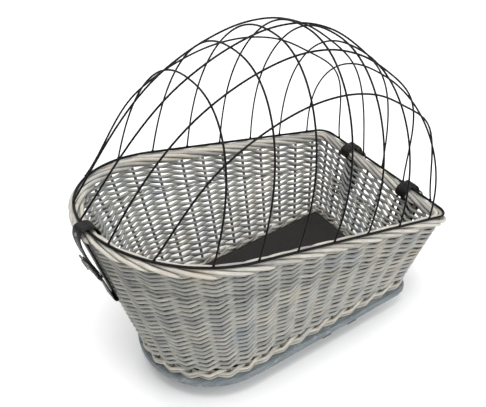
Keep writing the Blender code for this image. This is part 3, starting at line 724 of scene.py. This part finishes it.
def floor_mat():
    """A felt pad: a crowned edge, a bound rim with a sewn channel, and a slightly uneven top."""
    low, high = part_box("floor_mat")
    inset, rings = WALL_FOOT_INSET - WALL_MIDDLE + MAT_EDGE_IN, []
    share = foot_line.share(np.zeros(1)) + np.linspace(0, len(foot_line.points), 220,
                                                       endpoint=False)
    thick = high.z - low.z
    for inward, up in MAT_PROFILE:
        flat, _ = foot_line.at(share, -inset - inward)
        rings.append(np.column_stack([flat, np.full(len(flat), low.z + up / MAT_DRAWN * thick)]))
    middle = np.array(MAT_MIDDLE)
    last = rings[-1]
    for shrink in np.linspace(1.0, 0.0, 26)[1:-1]:
        flat = last[:, :2] * shrink + middle * (1 - shrink)
        lift = [MAT_UNEVEN * noise.noise((x * 14, y * 14, 1.5)) for x, y in flat]
        rings.append(np.column_stack([flat, last[:, 2] - MAT_SINKS + lift]))
    n = len(share)
    points = np.vstack(rings + [[(*middle, low.z + thick * MAT_MIDDLE_HIGH)],
                                [(*middle, low.z)]])
    faces = quads(len(rings), n, False).tolist()
    top, bottom = len(points) - 2, len(points) - 1
    base = (len(rings) - 1) * n
    faces += [(base + i, top, base + (i + 1) % n) for i in range(n)]
    faces += [((i + 1) % n, bottom, i) for i in range(n)]
    data = closed_mesh("felt_mat", points.tolist(), faces)
    mat = place("felt_mat", data, FELT, "basket", "floor_mat", slot="mat")


# ---------------- grille

BEAD_STEPS = 5
HOOP_BEAD, WIRE_BEAD = (0.0004, 0.0023), (0.0006, 0.0022)  # below the wire's end, and radius


def rim_half_width(x):
    """Half the rim's width at x, which narrows over the arc of the round end."""
    start = -RIM_LENGTH / 2 + RIM_ARC
    if x >= start:
        return RIM_WIDTH / 2
    return RIM_WIDTH / 2 * math.sqrt(1 - ((start - x) / RIM_ARC) ** 2)


class Hoop:
    """An arch across the rim, a superellipse that swells between its feet and its top."""

    def __init__(self, number):
        self.x = HOOP_FIRST + HOOP_STEP * number
        self.peak = HOOP_PEAK - HOOP_FALL * (self.x - HOOP_PEAK_X) ** 2
        self.lean = -HOOP_LEAN * (self.x - HOOP_LEAN_X)
        self.half, self.swell = rim_half_width(self.x), HOOP_SWELL[number]

    def point(self, angle):
        """A point on the arch. Angle 0 is on the rim's left side, 90 the top."""
        c, s = math.cos(math.radians(angle)), math.sin(math.radians(angle))
        z = self.peak * s ** (2 / HOOP_SQUARE)
        y = math.copysign(abs(c) ** (2 / HOOP_SQUARE), c) * self.half
        y *= 1 + self.swell * math.sin(math.pi * z / self.peak)
        return Vector((self.x + self.lean * z, y, z))

    def path(self, steps=96):
        low = math.degrees(math.asin(((RIM_WIRE + GAP) / self.peak) ** (HOOP_SQUARE / 2)))
        return [self.point(low + (180 - 2 * low) * i / steps) for i in range(steps + 1)]

    def angle_at(self, y):
        """The angle of the arch's point at y, found by halving."""
        low, high = 0.0, 180.0
        for _ in range(40):
            middle = (low + high) / 2
            low, high = (middle, high) if self.point(middle).y > y else (low, middle)
        return middle


def hermite(a, b, slope_a, slope_b, steps):
    """Points of a cubic curve from a, up to but not at b, with these slopes at its ends."""
    for t in np.linspace(0.0, 1.0, steps, endpoint=False):
        yield (a * (2 * t ** 3 - 3 * t ** 2 + 1) + slope_a * (t ** 3 - 2 * t ** 2 + t)
               + b * (3 * t ** 2 - 2 * t ** 3) + slope_b * (t ** 3 - t ** 2))


def long_wire_path(hoops, start_y, first_y, last_y, end_y, start_lean, end_lean):
    """A wire from the rim's round end to its straight end, laid on every hoop's outer side."""
    foot_up = RIM_WIRE + GAP + HOOP_WIRE / 2
    start_x = -RIM_LENGTH / 2 + RIM_ARC * (1 - math.sqrt(1 - (2 * start_y / RIM_WIDTH) ** 2))
    ys = np.linspace(first_y, last_y, len(hoops))
    angles = [hoop.angle_at(y) for hoop, y in zip(hoops, ys)]
    knots = [Vector((start_x, start_y, foot_up))]
    knots += [hoop.point(angle) for hoop, angle in zip(hoops, angles)]
    knots.append(Vector((RIM_LENGTH / 2, end_y, foot_up)))
    lifts = []
    for i, (hoop, angle) in enumerate(zip(hoops, angles), 1):
        along_hoop = hoop.point(angle - 1) - hoop.point(angle + 1)
        outwards = (knots[i + 1] - knots[i - 1]).cross(along_hoop).normalized()
        lifts.append(outwards * (2 * HOOP_WIRE + GAP + WIRE_SPARE))
    for i, lift in enumerate(lifts, 1):
        knots[i] += lift * (1 if lift.z > 0 else -1)
    lengths = [(b - a).length for a, b in zip(knots, knots[1:])]
    ways = [(b - a).normalized() for a, b in zip(knots, knots[1:])]
    slopes = [Vector((start_lean, 0.0, 1.0)).normalized()]
    for i in range(1, len(ways)):
        before, after = lengths[i - 1], lengths[i]
        slopes.append((ways[i - 1] * after + ways[i] * before) / (before + after))
    slopes.append(Vector((end_lean, 0.0, -1.0)).normalized())
    path = []
    for i, length in enumerate(lengths):
        path += hermite(knots[i], knots[i + 1], slopes[i] * length, slopes[i + 1] * length, 16)
    return path + [knots[-1]]


def weld_bead(beads, wire_end, below, radius):
    """A small lump of weld and coating where two wires meet."""
    centre, rows = wire_end - Vector((0, 0, below)), np.linspace(-1, 1, BEAD_STEPS)
    path = np.array([centre + Vector((0, 0, r * radius)) for r in rows])
    size = radius * np.sqrt(np.clip(1 - rows ** 2, 0.06, 1))
    beads.add(path, size, size, up=(1.0, 0.0, 0.0), tint=0.5)


def grille():
    hoops = [Hoop(number) for number in range(HOOP_COUNT)]
    u = np.arange(400) / 400 * rim_line.total
    tube("rim_wire_coated", 12, on_rim(u, 0.0, 0.0), RIM_WIRE, RIM_WIRE, WIRE, "grille",
         "rim_wire", slot="grille_wire", closed=True)
    wires = [(f"hoop_{number}", hoop.path(), (1.0, 0.0, 0.2), HOOP_BEAD)
             for number, hoop in enumerate(hoops, 1)]
    wires += [(name, long_wire_path(hoops, *course), (0.0, 1.0, 0.1), WIRE_BEAD)
              for name, course in LONG_WIRES.items()]
    beads = Tubes("weld_beads", 10)
    for node, points, up, bead in wires:
        path = [RIM @ p for p in points]
        tube(f"{node}_coated", 10, path, HOOP_WIRE, HOOP_WIRE, WIRE, "grille", node,
             slot="grille_wire", up=up)
        for end in (path[0], path[-1]):
            weld_bead(beads, end, *bead)
    beads.build(WIRE, "grille", slot="grille_wire")


# ---------------- straps

LEAST_SEWN = 0.02                 # above this much strap over the buckle, it is stitched
HOLES, HOLE_R, HOLE_RIM = 5, 0.0013, (0.0003, 0.00016)
STITCH_SIDES, STITCHES, STITCH_HALF = (-0.0070, 0.0070), 4, (0.0004, 0.0003)
TAIL_POINT = 0.010  # over which a strap's free end narrows
BUCKLE_ROUND, KEEPER_ROUND = 0.0032, 0.0010  # corner radii


def strap_place(side, y):
    """A strap's own frame on the rim wire, square to the wire there."""
    x, turn = RIM_LENGTH / 2, 0.0
    if side < 0:
        angle = math.asin(2 * y / RIM_WIDTH)
        x = RIM_LENGTH / 2 - RIM_ARC * (1 - math.cos(angle))
        turn = -math.atan2(math.sin(angle) / (RIM_WIDTH / 2), math.cos(angle) / RIM_ARC)
    slope = Matrix.Rotation(RIM_SLOPE, 4, "Y")
    turned_round = slope @ Matrix.Rotation(turn, 4, "Z") @ slope.inverted()
    return Matrix.Translation(RIM @ Vector((side * x, y, 0))) @ turned_round


def smooth_loop(points, steps):
    """A closed curve through the points, with this many steps from one to the next."""
    knots = [np.array(p, float) for p in points]
    knots = [knots[-1]] + knots + knots[:2]
    path = []
    for a, b, c, d in zip(knots, knots[1:], knots[2:], knots[3:]):
        for t in np.linspace(0.0, 1.0, steps, endpoint=False):
            path.append(0.5 * (2 * b + (c - a) * t + (2 * a - 5 * b + 4 * c - d) * t ** 2
                               + (3 * b - a - 3 * c + d) * t ** 3))
    return np.array(path)


class Strap:
    """The leather loop round the rim, its free end, buckle, prong and keeper."""

    def __init__(self, name, side, y, outer_run, buckle_down):
        self.name, self.side, self.buckle_down = name, side, buckle_down
        self.place = strap_place(side, y)
        self.loop = smooth_loop(self.knots(outer_run), CAD_STEPS * FINER)
        ahead, behind = (np.roll(self.loop, by, axis=0) for by in (-FINER, FINER))
        self.along = (ahead - behind) / np.linalg.norm(ahead - behind, axis=1)[:, None]
        turning = np.sum(behind[:, 0] * self.loop[:, 1] - behind[:, 1] * self.loop[:, 0])
        self.outwards = np.stack([self.along[:, 1], -self.along[:, 0]], axis=1)
        self.outwards *= 1.0 if turning > 0 else -1.0

    def wall_face(self, height):
        """The wall's furthest point outwards under the strap, at this share of its height."""
        back = np.array(self.place.inverted())
        u = np.linspace(0, rim_line.total, 1600, endpoint=False)
        points = on_wall(u, wall_height(u) * height, 0.0)
        local = np.column_stack([points, np.ones(len(points))]) @ back.T
        near = np.abs(local[:, 1]) < STRAP_WIDTH / 2
        near &= self.side * local[:, 0] > -0.2
        return max((self.side * x, z) for x, _, z, _ in local[near])

    def knots(self, outer_run):
        """Down the outer run, up the wall's face, under the border and back over the rim."""
        fold_up, (low, high) = outer_run[-1][1], (self.wall_face(h) for h in (0.2, 1.0))
        clear = STRAP_THICK / 2 + STRAP_SPARE
        points = [Vector((self.side * out, 0, up)) for out, up in outer_run]
        for share in (0.03, 0.25, 0.5, 0.75, 1.0):
            up = fold_up + (high[1] - 0.006 - fold_up) * share
            out = low[0] + (high[0] - low[0]) * (up - low[1]) / (high[1] - low[1])
            points.append(Vector((self.side * (out + clear), 0, up)))
        under = BORDER_BOTTOM - GAP - STRAP_THICK / 2 - GAP / 2
        inside = -BORDER_IN - clear
        for out, up in ((-0.003, under), (-0.011, under), (inside - 0.0002, -0.0140),
                        (inside - 0.0004, -0.0050), (-0.0085, 0.0030)):
            points.append(RIM.to_3x3() @ Vector((self.side * out, 0, up)))
        return [(p.x, p.z) for p in points]

    def index_at(self, down):
        """The CAD strap's first point this far below the rim wire, counted in the finer loop."""
        return FINER * int(np.argmax(self.loop[::FINER, 1] <= -down))

    def frame_at(self, down):
        """A frame on the strap's outer face: X along the strap, Z outwards."""
        i = self.index_at(down)
        point = (self.loop + self.outwards * STRAP_THICK / 2)[i]
        x_axis = Vector((self.along[i][0], 0, self.along[i][1]))
        z_axis = Vector((self.outwards[i][0], 0, self.outwards[i][1]))
        turn = Matrix((x_axis, z_axis.cross(x_axis), z_axis)).transposed().to_4x4()
        return self.place @ Matrix.Translation((point[0], 0, point[1])) @ turn

    def ribbon(self, name, indices, lift, thick, closed, node, point_end=0.0):
        """A band with rounded edges and a creased line along both, on the strap's path."""
        half = STRAP_WIDTH / 2
        line = self.loop[indices] + self.outwards[indices] * lift
        normals = self.outwards[indices]
        count = len(line)
        steps = np.linalg.norm(np.diff(line, axis=0), axis=1)
        lengths = np.concatenate([[0], np.cumsum(steps)])
        t = thick / 2
        edge = [(0.0, -0.3 * t), (0.0, 0.3 * t), (0.35 * t, 0.85 * t), (0.9 * t, t),
                (0.0019, t), (0.0023, 0.72 * t), (0.0027, t), (half - 0.004, t)]
        profile = [(y - half, z) for y, z in edge] + [(half - y, z) for y, z in edge[::-1]]
        profile += [(half - 0.9 * t, -t), (0.9 * t - half, -t)]
        points, sides = [], len(profile)
        for i in range(count):
            left = lengths[-1] - lengths[i]
            narrow = 1.0
            if point_end and left < point_end:
                narrow = 0.25 + 0.75 * math.sin(math.pi / 2 * left / point_end)
            for y, z in profile:
                x2, z2 = line[i] + normals[i] * z
                points.append(self.place @ Vector((x2, y * narrow, z2)))
        faces = quads(count, sides, closed).tolist()
        if not closed:
            faces.append(tuple(range(sides))[::-1])
            faces.append(tuple((count - 1) * sides + j for j in range(sides)))
        place(name, closed_mesh(name, points, faces), LEATHER, "basket", node,
              slot="strap_leather")

    def holes_and_stitches(self):
        """Punched holes with pressed rings, and the stitches that hold the buckle."""
        stitches = Tubes(f"{self.name}_stitches", 6)
        lift = STRAP_THICK / 2 + GAP + TAIL_THICK + 0.00005
        start, end = (self.index_at(self.buckle_down + down) for down in TAIL_RUN)
        for index in np.linspace(start + 7, end - 6, HOLES).astype(int):
            outward = self.outwards[index]
            centre, ring = self.loop[index] + outward * lift, []
            for a in np.linspace(0, 2 * math.pi, 14, endpoint=False):
                x, z = centre + self.along[index] * HOLE_R * math.cos(a)
                ring.append(self.place @ Vector((x, HOLE_R * math.sin(a), z)))
            up = self.place.to_3x3() @ Vector((outward[0], 0, outward[1]))
            stitches.add(ring, *HOLE_RIM, True, up=up, tint=0.2)
        if self.buckle_down > LEAST_SEWN:
            lift = STRAP_THICK / 2 + 0.0001
            first = self.index_at(self.buckle_down - 0.003) - 2
            for y in STITCH_SIDES:
                for i in range(first, first - 3 * STITCHES, -3):
                    a, b = (self.loop[k] + self.outwards[k] * lift for k in (i, i - 2))
                    spots = [a + (b - a) * t for t in (0.0, 0.5, 1.0)]
                    path = [self.place @ Vector((x, y, z)) for x, z in spots]
                    stitches.add(path, *STITCH_HALF, tint=0.5, taper=0.0008)
        stitches.build(THREAD, "basket", slot="strap_leather")

    def rivet(self):
        """A domed rivet head on the outer run, below the top of the rim."""
        seat = self.frame_at(RIVET_DOWN)
        rises = np.linspace(-0.2, 1.0, 8)
        path = [seat @ Vector((0, 0, RIVET_HIGH * rise)) for rise in rises]
        size = RIVET_R * np.sqrt(np.clip(1 - rises ** 2, 0.004, 1))
        tube(f"{self.name}_rivet", 16, path, size, size, NICKEL, "basket",
             slot="buckle_metal", up=seat.col[0].xyz)

    def leather(self):
        """The loop, and the free end that lies on its outer run."""
        every = np.arange(len(self.loop))
        self.ribbon(f"{self.name}_leather", every, 0.0, STRAP_THICK, True, f"{self.name}_strap")
        start, end = (self.index_at(self.buckle_down + down) for down in TAIL_RUN)
        lift = STRAP_THICK / 2 + GAP + TAIL_THICK / 2
        self.ribbon(f"{self.name}_tail_leather", np.arange(start, end + 1), lift, TAIL_THICK,
                    False, f"{self.name}_strap_end", point_end=TAIL_POINT)

    def buckle(self, seat):
        half = STRAP_WIDTH / 2 + 2 * GAP + BUCKLE_WIRE
        ring = rounded_rectangle((0, BUCKLE_HIGH), (-half, half), BUCKLE_ROUND, 7)
        path = [seat @ Vector((x, y, BUCKLE_UP)) for x, y in ring]
        tube(f"{self.name}_buckle_frame", 12, path, BUCKLE_WIRE, BUCKLE_WIRE, NICKEL, "basket",
             f"{self.name}_buckle", slot="buckle_metal", closed=True,
             up=seat.col[2].xyz)

    def prong(self, seat):
        """A pin with an eye round the buckle's bar."""
        eye = BUCKLE_WIRE + GAP + PRONG_WIRE
        turns = [math.radians(a) for a in range(360, 89, -15)]
        path = [Vector((eye * math.cos(a), 0, eye * math.sin(a))) for a in turns]
        path += [Vector((x, 0, eye)) for x in (BUCKLE_HIGH * 0.25, BUCKLE_HIGH / 2,
                                               BUCKLE_HIGH * 0.8, BUCKLE_HIGH + BUCKLE_WIRE)]
        bar = seat @ Matrix.Translation((0, 0, BUCKLE_UP))
        node = f"{self.name}_prong"
        tube(f"{node}_pin", 10, [bar @ p for p in path], PRONG_WIRE, PRONG_WIRE, NICKEL, node,
             node, slot="buckle_metal", up=seat.col[1].xyz)

    def keeper(self):
        """A leather band round the strap and its free end."""
        seat = self.frame_at(self.buckle_down + KEEPER_DOWN)
        low, high = -STRAP_THICK - KEEPER_SPARE, GAP + TAIL_THICK + KEEPER_SPARE
        wide, middle = STRAP_WIDTH / 2 + KEEPER_SPARE, KEEPER_THICK / 2
        ring = rounded_rectangle((low - middle, high + middle), (-wide - middle, wide + middle),
                                 KEEPER_ROUND, 5)
        path = [seat @ Vector((0, y, x)) for x, y in ring]
        node = f"{self.name}_keeper"
        tube(f"{node}_loop", 12, path, KEEPER_THICK / 2, KEEPER_LONG / 2, LEATHER, node, node,
             slot="strap_leather", closed=True, up=seat.col[0].xyz)

    def build(self):
        self.leather()
        self.holes_and_stitches()
        self.rivet()
        seat = self.frame_at(self.buckle_down)
        self.buckle(seat)
        self.prong(seat)
        self.keeper()


def rounded_rectangle(xs, ys, radius, steps):
    points = []
    for corner, (x, y) in enumerate(((xs[1], ys[1]), (xs[0], ys[1]), (xs[0], ys[0]),
                                     (xs[1], ys[0]))):
        x_in = x - math.copysign(radius, x - sum(xs) / 2)
        y_in = y - math.copysign(radius, y - sum(ys) / 2)
        for step in range(steps):
            a = math.radians(90 * corner + 90 * step / (steps - 1))
            points.append((x_in + radius * math.cos(a), y_in + radius * math.sin(a)))
    return points


# ---------------- carried-over nodes

CARRIED_LOOKS = {"base_board": BOARD, "under_board": BOARD, "clamp_bar": BLACK_STEEL,
                 "carriage_bolt": ZINC, "wing_nut": ZINC}


def carried_over():
    """New materials, and slightly softened edges, for the CAD nodes that stay."""
    for name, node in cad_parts.items():
        if node.hide_render:
            continue
        looks = next(made for start, made in CARRIED_LOOKS.items() if name.startswith(start))
        node.data.materials.clear()
        node.data.materials.append(looks)
        node.data.shade_smooth()
        node.data.set_sharp_from_angle(angle=math.radians(35))
        if name.startswith("clamp_bar"):
            edge = node.modifiers.new("soft_edges", "BEVEL")
            edge.width, edge.segments = 0.0006, 2
            edge.limit_method, edge.angle_limit = "ANGLE", math.radians(50)


camera()
studio()
woven_wall()
stakes()
border()
foot()
floor_mat()
grille()
for strap_name, (at_side, at_y, run_points, down) in STRAPS.items():
    Strap(strap_name, at_side, at_y, run_points, down).build()
carried_over()
